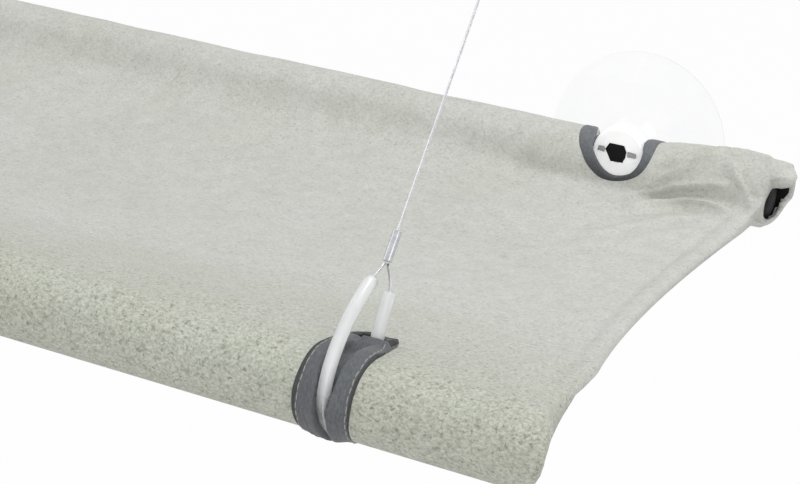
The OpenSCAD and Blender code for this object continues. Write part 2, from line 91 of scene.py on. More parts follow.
def grid_faces(rows, cols, wrap_rows=False, wrap_cols=False, start=0, flip=False):
    i, j = np.meshgrid(np.arange(rows if wrap_rows else rows - 1),
                       np.arange(cols if wrap_cols else cols - 1), indexing="ij")
    i, j = i.ravel(), j.ravel()
    i2, j2 = (i + 1) % rows, (j + 1) % cols
    quads = np.stack([i * cols + j, i2 * cols + j, i2 * cols + j2, i * cols + j2], 1) + start
    return [list(q)[::-1] if flip else list(q) for q in quads]


def end_faces(rows, cols, start=0):
    # The closing faces at the two ends of a row of rings
    last = start + (rows - 1) * cols
    return [list(range(start, start + cols))[::-1], list(range(last, last + cols))]


def layer_faces(rows, cols):
    # Two layers of the same grid, joined along their first and last columns
    n = rows * cols
    faces = grid_faces(rows, cols) + grid_faces(rows, cols, start=n, flip=True)
    for a in range(0, n - cols, cols):
        b = a + cols
        faces.append([n + a, n + b, b, a])
        faces.append([a + cols - 1, b + cols - 1, n + b + cols - 1, n + a + cols - 1])
    return faces


def smooth_curve(p, n):
    # A curve through the points, n steps to each
    p = np.asarray(p, float)
    q = np.vstack([2 * p[0] - p[1], p, 2 * p[-1] - p[-2]])
    out = []
    for k in range(len(p) - 1):
        a, b, c, d = q[k:k + 4]
        for s in np.arange(n) / n:
            out.append(0.5 * (2 * b + (c - a) * s + (2 * a - 5 * b + 4 * c - d) * s ** 2
                              + (3 * b - a - 3 * c + d) * s ** 3))
    return np.array(out + [p[-1]])


def frames_along(p):
    # Two directions square to a line at each point, carried along it without twist
    t = np.gradient(p, axis=0)
    t /= np.linalg.norm(t, axis=1)[:, None]
    u = np.zeros_like(p)
    v = np.cross(t[0], [1, 0, 0.03])
    u[0] = v / np.linalg.norm(v)
    for k in range(1, len(p)):
        v = u[k - 1] - t[k] * (u[k - 1] @ t[k])
        u[k] = v / np.linalg.norm(v)
    return u, np.cross(t, u)


def tube_co(p, r, n):
    u, w = frames_along(p)
    a = 2 * np.pi * np.arange(n) / n
    r = np.broadcast_to(r, len(p))[:, None, None]
    ring = np.cos(a)[None, :, None] * u[:, None] + np.sin(a)[None, :, None] * w[:, None]
    return (p[:, None] + r * ring).reshape(-1, 3)


def closed_tubes(name, parts, n=6):
    # One mesh of tubes with closed ends, each given by its centre line and its radius
    co, faces, start = [], [], 0
    for line, r in parts:
        co.append(tube_co(line, r, n))
        faces += grid_faces(len(line), n, wrap_cols=True, start=start) + end_faces(len(line), n, start)
        start += len(line) * n
    return mesh(name, np.vstack(co), faces)


def strands(name, p, r, pitch, count=6):
    # A stranded wire: count strands laid round a core
    thin = r / 3
    u, w = frames_along(p)
    s = np.concatenate([[0], np.cumsum(np.linalg.norm(np.diff(p, axis=0), axis=1))])
    lines = []
    for k in range(count):
        a = 2 * np.pi * (s / pitch + k / count)
        lines.append(p + 2 * thin * (np.cos(a)[:, None] * u + np.sin(a)[:, None] * w))
    return closed_tubes(name, [(line, thin * 1.04) for line in lines + [p]])


def prism(name, outline, lo, hi, across="y"):
    # A straight block between lo and hi on one axis, with an outline in the other two
    o = np.asarray(outline, float)
    n = len(o)
    co = np.vstack([np.insert(o, "xyz".index(across), v, axis=1) for v in (lo, hi)])
    faces = [[k, (k + 1) % n, n + (k + 1) % n, n + k] for k in range(n)] + end_faces(2, n)
    ob = mesh(name, co, faces, smooth=False)
    face_outward(ob)
    return ob


def block(name, lo, hi):
    corners = [(lo[0], lo[2]), (hi[0], lo[2]), (hi[0], hi[2]), (lo[0], hi[2])]
    return prism(name, corners, lo[1], hi[1])


def join(objects, name):
    co, faces, start = [], [], 0
    for o in objects:
        co += [tuple(v.co / MM) for v in o.data.vertices]
        faces += [[start + i for i in p.vertices] for p in o.data.polygons]
        start += len(o.data.vertices)
    for o in objects:
        bpy.data.objects.remove(o)
    return mesh(name, co, faces)


def cut(o, cutter):
    # Take the cutter out of a piece and keep the result as its mesh
    m = o.modifiers.new("cut", "BOOLEAN")
    m.operation, m.object, m.solver = "DIFFERENCE", cutter, "EXACT"
    graph = bpy.context.evaluated_depsgraph_get()
    graph.update()
    me = bpy.data.meshes.new_from_object(o.evaluated_get(graph))
    o.modifiers.clear()
    old = o.data
    o.data = me
    bpy.data.meshes.remove(old)
    bpy.data.objects.remove(cutter)


def paint(o, *mats):
    o.data.materials.clear()
    for m in mats:
        o.data.materials.append(m)
    return o


# Materials
def material(name):
    m = bpy.data.materials.new(name)
    m.use_nodes = True
    nt = m.node_tree
    return m, nt, nt.nodes["Principled BSDF"]


def node(nt, kind, **values):
    n = nt.nodes.new(kind)
    for k, v in values.items():
        setattr(n, k, v)
    return n


def place(nt):
    return node(nt, "ShaderNodeTexCoord").outputs["Object"]


def along(nt, co, axis):
    split = node(nt, "ShaderNodeSeparateXYZ")
    nt.links.new(co, split.inputs[0])
    return split.outputs[axis]


def map_range(nt, value, low, high, at_low, at_high):
    n = node(nt, "ShaderNodeMapRange")
    for key, v in (("From Min", low), ("From Max", high), ("To Min", at_low), ("To Max", at_high)):
        n.inputs[key].default_value = v
    nt.links.new(value, n.inputs["Value"])
    return n.outputs["Result"]


def noise(nt, coord, scale, detail=3.0, rough=0.55, stretch=None, distort=0.0):
    n = node(nt, "ShaderNodeTexNoise")
    for key, v in (("Scale", scale), ("Detail", detail), ("Roughness", rough), ("Distortion", distort)):
        n.inputs[key].default_value = v
    if stretch:
        mapping = node(nt, "ShaderNodeMapping")
        mapping.inputs["Scale"].default_value = stretch
        nt.links.new(coord, mapping.inputs["Vector"])
        coord = mapping.outputs["Vector"]
    nt.links.new(coord, n.inputs["Vector"])
    return n.outputs["Fac"]


def grey(v):
    return (v, v, v)


def ramp(nt, fac, stops):
    r = node(nt, "ShaderNodeValToRGB")
    while len(r.color_ramp.elements) < len(stops):
        r.color_ramp.elements.new(0.5)
    for e, (pos, col) in zip(r.color_ramp.elements, stops):
        e.position = pos
        e.color = (*col, 1)
    nt.links.new(fac, r.inputs["Fac"])
    return r.outputs["Color"]


def mix(nt, fac, a, b, mode="MIX"):
    m = node(nt, "ShaderNodeMix", data_type="RGBA", blend_type=mode)
    if isinstance(fac, float):
        m.inputs["Factor"].default_value = fac
    else:
        nt.links.new(fac, m.inputs["Factor"])
    nt.links.new(a, m.inputs["A"])
    if isinstance(b, tuple):
        m.inputs["B"].default_value = (*b, 1)
    else:
        nt.links.new(b, m.inputs["B"])
    return m.outputs["Result"]


def times(nt, col, fac, stops):
    # Multiply a colour by a ramp
    return mix(nt, 1.0, col, ramp(nt, fac, stops), "MULTIPLY")


def bump(nt, bsdf, height, strength, distance, normal=None):
    b = node(nt, "ShaderNodeBump")
    b.inputs["Strength"].default_value = strength
    b.inputs["Distance"].default_value = distance
    nt.links.new(height, b.inputs["Height"])
    if normal is not None:
        nt.links.new(normal, b.inputs["Normal"])
    nt.links.new(b.outputs["Normal"], bsdf.inputs["Normal"])
    return b.outputs["Normal"]


def felt_material(name, pale, mid, dark, speck):
    m, nt, b = material(name)
    co = place(nt)
    fibre = noise(nt, co, 1150, 4, 0.65, stretch=(0.75, 1.0, 1.0), distort=0.6)
    fleck = noise(nt, co, 620, 3, 0.6, distort=0.5)
    cloud = noise(nt, co, 150, 3, 0.6)
    broad = noise(nt, co, 20, 2, 0.5)
    detail = ramp(nt, fibre, [(0.30, dark), (0.47, mid), (0.64, pale)])
    spot = ramp(nt, fleck, [(0.0, grey(0.9)), (0.30, grey(0.9)), (0.44, grey(0.0))])
    detail = mix(nt, spot, detail, speck)
    # The front roll is coarser than the bed, and darker and more olive as painted shade
    front_grain_and_shade = map_range(nt, along(nt, co, "Y"), -0.306, -0.165, 1.0, 0.42)
    soft = [(at, tuple(c * k for c in mid)) for at, k in ((0.25, 0.955), (0.75, 1.045))]
    col = mix(nt, front_grain_and_shade, ramp(nt, cloud, soft), detail)
    col = times(nt, col, cloud, [(0.3, (0.965, 0.965, 0.955)), (0.7, grey(1.03))])
    col = times(nt, col, broad, [(0.32, (0.965, 0.965, 0.94)), (0.68, grey(1.015))])
    # Painted shade: the front roll darkened and turned olive
    col = times(nt, col, front_grain_and_shade, [(0.55, grey(1.0)), (1.0, (0.82, 0.835, 0.775))])
    # Painted shade: darker in the furrows between folds
    fold_crease_shade = node(nt, "ShaderNodeNewGeometry").outputs["Pointiness"]
    col = times(nt, col, fold_crease_shade, [(0.455, (0.88, 0.88, 0.87)), (0.5, grey(1.0)), (0.545, grey(1.0))])
    nt.links.new(col, b.inputs["Base Color"])
    for key, v in (("Roughness", 1.0), ("Specular IOR Level", 0.1), ("Sheen Weight", 0.2),
                   ("Sheen Roughness", 0.6)):
        b.inputs[key].default_value = v
    n = bump(nt, b, fibre, 0.22, 0.0003)
    bump(nt, b, cloud, 0.2, 0.0008, n)
    return m


def plain_material(name, color, rough, metal=0.0, grain=400, depth=0.0001, strength=0.3, vary=0.12,
                   stretch=None, dusk=None, **more):
    # The painted shade argument: the heights between which painted shade darkens the colour downward, and the
    # share that is left
    m, nt, b = material(name)
    co = place(nt)
    g = noise(nt, co, grain, 3, 0.6, stretch=stretch)
    lo = tuple(c * (1 - vary) for c in color)
    hi = tuple(min(1.0, c * (1 + vary)) for c in color)
    col = ramp(nt, g, [(0.3, lo), (0.7, hi)])
    # Painted shade: darker downward
    if dusk:
        low, high, least = dusk
        rise = map_range(nt, along(nt, co, "Z"), low, high, 0.0, 1.0)
        col = times(nt, col, rise, [(0.0, grey(least)), (1.0, grey(1.0))])
    nt.links.new(col, b.inputs["Base Color"])
    wear = noise(nt, co, grain / 6, 2, 0.5)
    r = ramp(nt, wear, [(0.3, grey(rough * 0.85)), (0.7, grey(min(1, rough * 1.15)))])
    nt.links.new(r, b.inputs["Roughness"])
    b.inputs["Metallic"].default_value = metal
    for k, v in more.items():
        b.inputs[k.replace("_", " ")].default_value = v
    bump(nt, b, g, strength, depth)
    return m


def clear_material():
    # Soft clear plastic: the thin disc is water clear, the thick head cloudy, with a little white emission on
    # the head as painted light
    m, nt, b = material("clear_pvc")
    co = place(nt)
    wave = noise(nt, co, 60, 2, 0.5)
    tint = ramp(nt, wave, [(0.3, (0.975, 0.98, 0.982)), (0.7, grey(0.995))])
    nt.links.new(tint, b.inputs["Base Color"])
    y = along(nt, co, "Y")
    head_y, disc_y = -0.0175, -0.009
    # The head's emission is painted light
    for key, head, disc in (("Transmission Weight", 0.3, 1.0), ("Roughness", 0.3, 0.05),
                            ("Emission Strength", 0.16, 0.0)):
        nt.links.new(map_range(nt, y, head_y, disc_y, head, disc), b.inputs[key])
    b.inputs["Emission Color"].default_value = (1, 1, 1, 1)
    b.inputs["IOR"].default_value = 1.3
    bump(nt, b, wave, 0.1, 0.0005)
    return m


def milky_material():
    # Milky where it is free, clearer where it is stretched over the roll
    m, nt, b = material("milky_silicone")
    co = place(nt)
    wave = noise(nt, co, 300, 2, 0.5)
    tint = ramp(nt, wave, [(0.3, (0.94, 0.955, 0.96)), (0.7, (0.98, 0.985, 0.99))])
    nt.links.new(tint, b.inputs["Base Color"])
    clear = map_range(nt, along(nt, co, "Z"), -0.008, 0.008, 0.92, 0.42)
    nt.links.new(clear, b.inputs["Transmission Weight"])
    for key, v in (("Roughness", 0.2), ("IOR", 1.32), ("Coat Weight", 0.3)):
        b.inputs[key].default_value = v
    bump(nt, b, wave, 0.1, 0.0002)
    return m


WOVEN = dict(depth=0.0002, strength=0.5)
FELT_MAT = felt_material("felt", pale=(0.72, 0.725, 0.69), mid=(0.555, 0.56, 0.53), dark=(0.36, 0.365, 0.31),
                         speck=(0.27, 0.28, 0.22))
TAPE_MAT = plain_material("binding_tape", (0.128, 0.135, 0.143), 0.7, grain=1500, vary=0.22,
                          stretch=(1, 0.4, 0.4), Specular_IOR_Level=0.15, Sheen_Weight=0.12, **WOVEN)
# Painted shade: the tape round the mouths is a lighter copy of the binding tape, darkened toward the bottom
# of the U
SHADED_MOUTH_TAPE_MAT = plain_material("mouth_tape", (0.165, 0.174, 0.186), 0.7, grain=1500, vary=0.2,
                                stretch=(1, 0.4, 0.4), dusk=(-0.012, 0.006, 0.2),
                                Specular_IOR_Level=0.15, Sheen_Weight=0.1, **WOVEN)
RIM_MAT = plain_material("binding_rim", (0.05, 0.053, 0.055), 0.8, grain=1800, vary=0.3, **WOVEN)
THREAD_MAT = plain_material("thread", (0.38, 0.375, 0.35), 0.7, grain=2500)
STEEL_MAT = plain_material("steel_wire", (0.62, 0.63, 0.65), 0.3, metal=1.0, grain=900)
FERRULE_MAT = plain_material("ferrule", (0.5, 0.51, 0.53), 0.25, metal=1.0, grain=500)
PIN_MAT = plain_material("pin_steel", (0.42, 0.43, 0.45), 0.3, metal=1.0, grain=600, stretch=(0.1, 1, 1))
COAT_MAT = plain_material("black_coat", (0.022, 0.022, 0.026), 0.42, grain=1200, strength=0.4, vary=0.2)
# Black plastic, also painted as black shade inside the rear sleeve's open ends
BLACK_PLASTIC_AND_SHADE_MAT = plain_material("black_plastic", (0.012, 0.012, 0.013), 0.6, grain=1500, strength=0.35, vary=0.2,
                           Specular_IOR_Level=0.1)
SHADE_MAT = plain_material("cross_hole_shade", grey(0.42), 0.5, grain=900, vary=0.25)
CLEAR_MAT = clear_material()
MILKY_MAT = milky_material()

# The felt cover: two sleeves and the bed, sewn from one piece. It is worked with y and z from the rear
# rail's axis. The bed runs between the rear roll and the lap, the seam's flat on the front roll's back
BED_START, LAP_BACK, LAP_LEN = 13.0, 28.3, 26.0
BED_LEN = DEPTH - BED_START - LAP_BACK
BED_REAR_Z, BED_CLIMB, BED_SAG = -6.0, 15.35, 18.0
LAP_Z = 9.35
# The lap leaves the front roll on the tangents to a small round at its tip
TIP_Y, TIP_Z = 26.65, 8.0
TIP_TURN = math.atan2(TIP_Z, TIP_Y)
TANGENT = math.acos((ROLL_R - FELT / 2) / math.hypot(TIP_Y, TIP_Z))
# Degrees round the rear roll from its back: over the top to the bed, and below it
CREASE, LOW_CREASE = 180 + 24.8, -141.6
# The widest half of the felt, by which its columns are shared out
COLUMN_HALF = 288

# Folds: points (x, s), height, width. s is the length along the felt, 0 where the bed meets the roll and less
# on the roll. These are at both rear corners
CORNER_FOLDS = [
    ([(226, -3), (233.7, -9.4), (240.9, -14.6), (248.2, -20.7), (254.9, -25.7), (265, -28),
      (275.3, -27.5), (281, -21), (284, -16)], 1.95, 2.72),
    ([(252, -24), (258, -22), (264, -18), (270, -12.5), (274.5, -5)], 1.43, 2.21),
    ([(222, 2), (228, -1), (234, -4), (240.4, -7.4), (248.8, -9.7), (257.2, -11.6), (264, -11.6),
      (270, -9)], 1.62, 2.55),
    ([(210, 19), (219, 15), (226.6, 11.5), (233.9, 5.1), (244.9, -1.2), (254.2, -2.6), (262, -1.5),
      (268, 3)], 1.62, 2.89),
    ([(212, 52), (222.6, 45), (228.4, 38), (234.1, 31), (240.3, 22.6), (246.6, 15.5), (255, 11),
      (263, 12)], 1.43, 3.74),
]
# These are on one side alone
SINGLE_FOLDS = [
    ([(232, -13), (242, -16.5), (250, -19.5)], -0.91, 2.21),
    ([(232, 1), (243, -4.5), (255, -6.8), (264, -6)], -1.17, 2.38),
    ([(224, 24), (236, 14), (248, 5), (260, 4)], -1.04, 3.40),
    ([(236, 50), (246, 34), (256, 24), (264, 24)], 0.80, 5.00),
    ([(190, 95), (215, 70), (236, 48)], 0.70, 7.00),
    ([(14, 62), (29, 41), (42, 19), (56, 2)], 0.70, 9.00),
    ([(-60, 96), (-30, 70), (0, 44)], 0.60, 11.00),
    ([(120, 180), (160, 150), (205, 128)], 0.60, 11.00),
    ([(262, 228), (268, 205), (270, 182)], 0.90, 6.00),
]

# Where the felt ends in x, by degrees round a roll, for its upper and its lower face
REAR_UPPER_END = [
    (0, 285), (30, 285.5), (60, 284.8), (82, 284.8), (96, 287.5), (108, 289.5), (118, 289.3), (127, 283.5),
    (133, 280), (160, 279), (185, 278.5), (204.8, 276),
]
REAR_LOWER_END = [
    (-141.6, 276), (-120, 280), (-90, 282), (-60, 282.5), (-45, 282.8), (-30, 283.5), (-15, 284.6), (0, 285),
]
FRONT_UPPER_END = [(79, 288.2), (90, 289.6), (105, 291.0), (120, 291.7), (150, 292.0), (180, 291.6)]
FRONT_LOWER_END = [(-180, 291.6), (-150, 290.4), (-110, 287.4), (-46, 285)]


def at(table, v):
    q = np.array(table)
    return np.interp(v, q[:, 0], q[:, 1])


def edge_x(t):
    # The bed's side edge: wider at the front, drawn in between the rails and at the front corner
    return CUP_X + RAIL_OUT + 14 * t - 13 * 4 * t * (1 - t) - 3.6 * np.clip((t - 0.85) / 0.15, 0, 1) ** 1.2


def bed_rise(x, t):
    u = np.clip(np.abs(x) / edge_x(t), 0, 1)
    return BED_REAR_Z + BED_CLIMB * t - BED_SAG * 4 * t * (1 - t) * (1 - 0.5 * u * u)


def ridge(x, s, line, height, width):
    # A soft fold with a narrow crest along a line of points, lower towards its two ends
    p = np.asarray(line, float)
    near = np.full(x.shape, 1e9)
    run = np.zeros(x.shape)
    for k in range(len(p) - 1):
        a, b = p[k], p[k + 1]
        ab = b - a
        f = np.clip(((x - a[0]) * ab[0] + (s - a[1]) * ab[1]) / (ab @ ab), 0, 1)
        e = np.hypot(x - a[0] - f * ab[0], s - a[1] - f * ab[1])
        run = np.where(e < near, (k + f) / (len(p) - 1), run)
        near = np.minimum(near, e)
    crest = 0.6 * np.exp(-(near / width) ** 2) + 0.5 * np.exp(-(near / (0.45 * width)) ** 2)
    return 1.25 * height * crest * np.sin(np.pi * np.clip(run * 0.86 + 0.07, 0, 1)) ** 0.7


def wander(x, s):
    # Slow unevenness of a soft sheet
    w = 0.16 * np.sin(x / 23.0 + s / 31.0) + 0.13 * np.sin(x / 14.0 - s / 19.0 + 1.3)
    w = w + 0.10 * np.sin(x / 8.3 + s / 9.1 + 0.4) + 0.07 * np.sin(x / 5.1 - s / 6.3 + 2.0)
    return w + 0.2 * np.sin(x / 47.0 + 0.7) * np.sin(s / 39.0)


def steps(lo, hi, size):
    return np.linspace(lo, hi, max(2, int(abs(hi - lo) / (size * GRAIN)) + 1))


def columns():
    middle = steps(0, 172, 3.0)
    side = steps(172, COLUMN_HALF, 1.25)[1:]
    half = np.concatenate([middle, side]) / COLUMN_HALF
    return np.concatenate([-half[:0:-1], half])


def felt_rows(upper):
    # Rows of the felt from the back of the rear roll to the front of the front roll. Each has its kind, its
    # y and z, or None where the bed's shape gives z, its angle in degrees or its share, and s
    turn = 1 if upper else -1
    angles = steps(0, CREASE, 4.0)
    fold_end, lap_start = 40, BED_LEN - 26
    bed = np.concatenate([steps(0, fold_end, 1.1)[1:], steps(fold_end, lap_start, 2.4)[1:],
                          steps(lap_start, BED_LEN, 1.4)[1:]]) / BED_LEN
    laps, fronts = int(12 / GRAIN) + 2, int(26 / GRAIN) + 2
    if not upper:
        angles = np.linspace(0, LOW_CREASE, len(angles))
    rows = [("roll", ROLL_R * math.cos(v), ROLL_R * math.sin(v), a, ROLL_R * (v - math.radians(CREASE)))
            for v, a in zip(np.radians(angles), angles)]
    rows += [("bed", -BED_START - BED_LEN * v, None, v, BED_LEN * v) for v in bed]
    first = TIP_TURN + turn * TANGENT
    lap_from = np.array([LAP_BACK - DEPTH, LAP_Z if upper else LAP_Z - FELT])
    lap_to = np.array([-DEPTH + ROLL_R * math.cos(first), ROLL_R * math.sin(first)])
    for v in np.linspace(0, 1, laps)[1:]:
        y, z = lap_from + (lap_to - lap_from) * v
        rows.append(("lap", y, z, v, BED_LEN + LAP_LEN * v))
    for v in np.linspace(first, turn * np.pi, fronts)[1:]:
        rows.append(("front", -DEPTH + ROLL_R * math.cos(v), ROLL_R * math.sin(v), math.degrees(v),
                     BED_LEN + LAP_LEN + ROLL_R * abs(v - first)))
    return rows


def row_end(kind, v, upper):
    # The end of a row in x and the rounding of its edge
    if kind == "roll":
        return float(at(REAR_UPPER_END if upper else REAR_LOWER_END, v)), 1.3
    if kind == "bed":
        return float(edge_x(v)), 2.15 - 0.85 * np.clip((v - 0.94) / 0.05, 0, 1)
    if kind == "lap":
        return 286.4 + (1.8 * v ** 3 if upper else -1.4 * v), min(5.0, 1.25 + 9 * v)
    return float(at(FRONT_UPPER_END if upper else FRONT_LOWER_END, v)), 5.0


def hem_share(edge):
    # The hem's roundness, by the distance from the side edge
    return np.clip(1 - (np.maximum(edge - 3.4, 0) / 4.0) ** 2, 0, 1)


def pinch(x):
    # How far the lower wall of the rear roll is drawn up at its open ends
    return np.interp(np.abs(x), [262, 272, 277, 279, 281, 286], [1, 0.9, 0.88, 0.78, 0.62, 0.56])


def outward(Y, Z, turn):
    ty, tz = np.gradient(Y, axis=0), np.gradient(Z, axis=0)
    n = np.maximum(np.hypot(ty, tz), 1e-9)
    return turn * tz / n, -turn * ty / n


def settle(X, Y, Z, s):
    # Pull the felt tight at its creases, and keep it outside the two rolls
    soft = np.interp(np.abs(X), [0, 120, 172, 232, 250, 276], [0.5, 0.46, 0.06, 0.05, 0.16, 0.42])
    near = np.interp(s, [-21, -12, 60, 90], [0, 1, 1, 0]) * soft
    lap = [BED_LEN - 24, BED_LEN - 8, BED_LEN + 26, BED_LEN + 32]
    far = np.interp(s, lap, [0, 1, 1, 0]) * 0.5
    turns, far_turns = int(260 / GRAIN ** 2), 50
    for turn in range(turns):
        pull = near + far * (turn < far_turns)
        for A in (Y, Z):
            A[1:-1] += pull[1:-1] * ((A[:-2] + A[2:]) / 2 - A[1:-1])
        for axis_y in (0.0, -DEPTH):
            d = np.hypot(Y - axis_y, Z)
            k = np.maximum(1, ROLL_R / np.maximum(d, 1e-6))
            Y[:] = axis_y + (Y - axis_y) * k
            Z[:] = Z * k


def upper_height(X, S, edge, on_roll):
    # How far the felt's upper face stands off its smooth form: folds, hem, the raised corner and waves
    ax = np.abs(X)
    folds = [(ax, f) for f in CORNER_FOLDS] + [(X, f) for f in SINGLE_FOLDS]
    h = sum(ridge(x, S, *f) for x, f in folds)
    h = h * np.where(X < 0, 0.85, 1.0)
    on_bed = np.clip((S + 2) / 10, 0, 1) * np.clip((BED_LEN - 2 - S) / 12, 0, 1)
    h = h + on_bed * (hem_share(edge) - 0.4 * np.exp(-((edge - 8.6) / 1.4) ** 2))
    corner = np.interp(ax, [228, 234, 245, 254, 263, 271, 280, 285, 290],
                       [0, 1.2, 2.6, 3.2, 3.3, 3.6, 3.7, 3.0, 1.2])
    h = h + corner * np.interp(S, [-50, -42, -34, -20, -10], [0, 0, 1, 1, 0])
    calm = np.clip((S + 44) / 10, 0, 1) * np.clip((S[-1, 0] - S) / 8, 0, 1)
    # Flat under the tape round the mouth
    calm = calm * np.maximum(1 - np.exp(-((ax - CUP_X) / 21) ** 4), np.clip((S + 4) / 10, 0, 1))
    h = h + wander(X, S) * calm
    return np.where(on_roll, np.maximum(h, -0.6), h)


def felt_face(upper):
    # One face of the felt as grids of x, y and z, with its side edges rounded
    rows = felt_rows(upper)
    u = columns()
    kinds = np.array([r[0] for r in rows])
    ends = np.array([row_end(r[0], r[3], upper) for r in rows])
    share = np.array([r[3] if r[0] == "bed" else 0.0 for r in rows])[:, None]
    s = np.array([r[4] for r in rows])[:, None]
    X = u[None, :] * (ends[:, :1] - ends[:, 1:])
    Y = np.repeat(np.array([[r[1]] for r in rows]), len(u), 1)
    fixed = np.array([[np.nan if r[2] is None else r[2]] for r in rows])
    Z = np.where(np.isnan(fixed), bed_rise(X, share) - (0 if upper else FELT), fixed)
    S = np.repeat(s, len(u), 1)
    edge = ends[:, :1] - np.abs(X)
    on_roll = (kinds == "roll")[:, None]
    if upper:
        settle(X, Y, Z, s)
        ny, nz = outward(Y, Z, 1)
        h = upper_height(X, S, edge, on_roll)
        Y, Z = Y + ny * h, Z + nz * h
    else:
        S = np.where(kinds == "bed", s[:, 0], -1)[:, None]
        on_bed = np.clip((S + 1) / 10, 0, 1) * np.clip((BED_LEN - 2 - S) / 12, 0, 1)
        Z = Z - 0.9 * hem_share(edge) * on_bed
    # The lower wall is pinched up at the roll's open ends
    Z = np.where(on_roll & (Z < 0), Z * pinch(X), Z)
    ny, nz = outward(Y, Z, 1 if upper else -1)
    parts = [(X, Y, Z)]
    for a in np.radians(18 * np.arange(1, 6)):
        for sign in (-1, 1):
            c = 0 if sign < 0 else -1
            back = ends[:, 1] * (1 - math.cos(a)) * np.where(kinds == "bed", 0.98, 1.0)
            x = sign * (ends[:, 0] - ends[:, 1] + ends[:, 1] * math.sin(a))
            q = (x[:, None], (Y[:, c] - ny[:, c] * back)[:, None], (Z[:, c] - nz[:, c] * back)[:, None])
            parts = [q] + parts if sign < 0 else parts + [q]
    return tuple(np.hstack([p[k] for p in parts]) for k in range(3))


# The tape round a cup's mouth, from the top of one arm to the other: x and degrees above the front for its
# outer edge, then the same for its inner edge
MOUTH = [
    (17.2, 91, 11.4, 91), (17.2, 74, 11.3, 76), (17.3, 60, 12.0, 62), (17.2, 47, 12.9, 49),
    (16.7, 34, 13.0, 38), (15.6, 21, 12.5, 27), (13.4, 8.6, 11.2, 16), (10.5, 0, 9.2, 7.5),
    (7.4, -6, 6.4, 0.5), (4.2, -9.8, 3.9, -3), (0.9, -12, 1.4, -4), (-2.4, -11.2, -1, -0.7),
    (-4.9, -7.4, -3, 4.6), (-7.1, -1.3, -4.4, 10), (-9, 4.9, -5.6, 15.5), (-10.6, 11.2, -6.7, 21.5),
    (-12.3, 20.4, -7.9, 29), (-13.9, 30, -9.2, 37.5), (-15.4, 39, -10.4, 46), (-17, 54, -10.8, 59),
    (-18.2, 72, -11.2, 73), (-18.7, 91, -12.1, 91),
]
CUT_TOP, SLOT_HALF = 40.0, 4.4
# The hole that the back leg of a tube enters: its centre from the slot and its two radii
HOLE_X, HOLE_Y, HOLE_RX, HOLE_RY = -2.6, 19.8, 6.3, 3.3


def mouth_outline(side):
    # The felt's cut edge lies 1 mm outside the tape's inner edge
    pts = [(x, ROLL_R * math.sin(math.radians(min(a, 90)))) for _, _, x, a in MOUTH]
    middle = np.array([0.6, 12.0])
    out = []
    for p in smooth_curve(pts, 4):
        d = p - middle
        out.append(p + d / np.linalg.norm(d))
    out = [(12.8, CUT_TOP)] + [tuple(p) for p in out] + [(-13.4, CUT_TOP)]
    return [(side * CUP_X + side * x, RAIL_Z + z) for x, z in out]


def rear_outline(side, half=15.0, floor=-7.4, corner=5.0):
    # The mouth's cut in the back of the roll: straight arms and a rounded floor
    pts = [(-half, CUT_TOP)]
    for turn, cx in ((180, -half + corner), (270, half - corner)):
        for a in np.radians(np.linspace(turn, turn + 90, 7)):
            pts.append((cx + corner * math.cos(a), floor + corner + corner * math.sin(a)))
    return [(side * CUP_X + x, RAIL_Z + z) for x, z in pts + [(half, CUT_TOP)]]


def hole_outline(side, grow=0.0, n=28):
    a = 2 * np.pi * np.arange(n) / n
    return [(side * CABLE_X + HOLE_X + (HOLE_RX + grow) * math.cos(v),
             FRONT_Y + HOLE_Y + (HOLE_RY + grow) * math.sin(v)) for v in a]


def hole_cutter(side):
    return prism("hole", hole_outline(side), RAIL_Z - 3, RAIL_Z + 30, across="z")


def spreader_windows(x):
    # The openings for a spreader's saddles: below the rear rail, and turned under the front one
    half = 20
    rear = block("window", (x - half, PIN_Y - 12, RAIL_Z - 40), (x + half, PIN_Y + 12, RAIL_Z - 9))
    front = block("window", (x - half, -12, -40), (x + half, 12, -9))
    c, s = math.cos(math.radians(60)), math.sin(math.radians(60))
    for v in front.data.vertices:
        y, z = v.co.y / MM, v.co.z / MM
        v.co.y, v.co.z = (FRONT_Y + y * c - z * s) * MM, (RAIL_Z + y * s + z * c) * MM
    return [rear, front]


# The rear sleeve's bore narrows with the pinched wall towards its open ends. From MOUTH_IN outward it is
# the mouth, where a lump of folded felt lies low in it
MOUTH_IN = 283.2
BORE_X = [262, 272, 277.5, 279, 280.4, MOUTH_IN, 286, 288, 310]


def mouth_shade_depth(sine):
    # Where the painted shade in the roll's mouth begins: nearer to the end at the top than at the bottom
    return MOUTH_IN - 2.2 * np.clip((0.1 - sine) / 0.5, 0, 1)


def rear_bore():
    a = np.linspace(0, 2 * np.pi, RING + 1)[:-1]
    rings = []
    for x in [-x for x in BORE_X[::-1]] + BORE_X:
        swell = 0.4 * np.interp(abs(x), [280.4, MOUTH_IN, 286], [0, 0.7, 1])
        lump = 1 - swell * np.exp(-((np.degrees(a) - 322) / 13) ** 2)
        y, z = BORE_R * np.cos(a) * lump, BORE_R * np.sin(a) * lump
        low = pinch(x) + np.interp(abs(x), [262, 272, 278, 281], [0, 0.08, 0.08, 0.02])
        across = np.sign(x) * mouth_shade_depth(np.sin(a)) if abs(x) == MOUTH_IN else np.full(RING, x)
        rings.append(np.stack([across, PIN_Y + y, RAIL_Z + np.where(z < 0, z * low, z)], 1))
    faces = grid_faces(len(rings), RING, wrap_cols=True) + end_faces(len(rings), RING)
    o = mesh("bore", np.vstack(rings), faces, smooth=False)
    face_outward(o)
    return o


def front_bore():
    a = np.linspace(0, 2 * np.pi, RING + 1)[:-1]
    ring = np.stack([FRONT_Y + BORE_R * np.cos(a), RAIL_Z + BORE_R * np.sin(a)], 1)
    return prism("bore", ring, 6 - HALF, HALF - 6, across="x")


